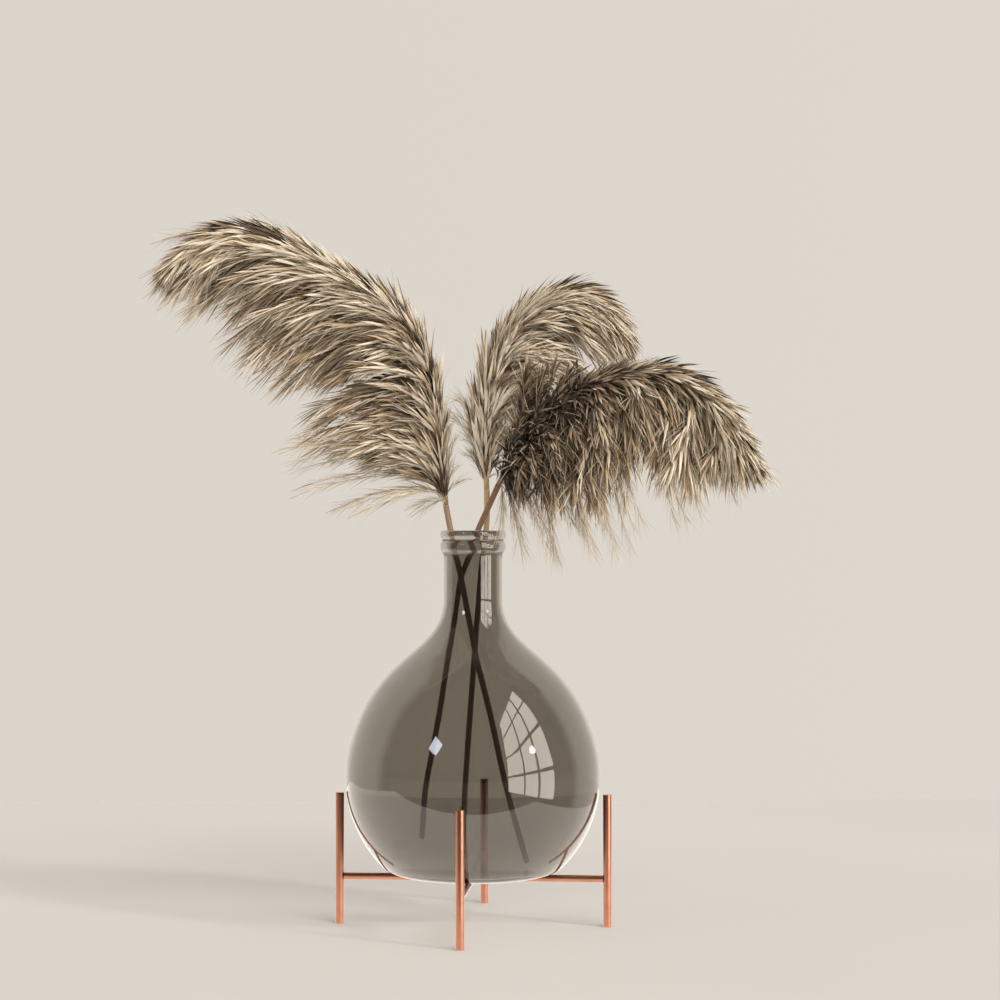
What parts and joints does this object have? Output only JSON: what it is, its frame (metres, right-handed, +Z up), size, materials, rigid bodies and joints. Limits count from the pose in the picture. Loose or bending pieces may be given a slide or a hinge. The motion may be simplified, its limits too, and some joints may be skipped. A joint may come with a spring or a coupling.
{
  "type": "vase of pampas grass",
  "caption": "Round-bodied smoked glass vase on a copper-coloured rod stand, holding dried pampas plumes that arch out to both sides.",
  "frame": {"origin": "on the surface that the stand's feet rest on, under the vase's axis", "axes": "+Z up along the vase's axis, +X to the right and -Y to the front as the picture looks at it"},
  "size_m": [0.6199, 0.2754, 0.6955],
  "materials": {
    "smoked_glass": "polished",
    "copper": "satin",
    "stem": "matte",
    "plume": "matte"
  },
  "bodies": {
    "root": {"vase": "smoked_glass", "leg_right": "copper", "leg_back": "copper", "leg_left": "copper", "leg_front": "copper", "bar_left_right": "copper", "bar_front_back": "copper", "stem_left": "stem", "stem_middle": "stem", "stem_right": "stem", "plume_left": "plume", "plume_middle": "plume", "plume_right": "plume"}
  },
  "joints": []
}
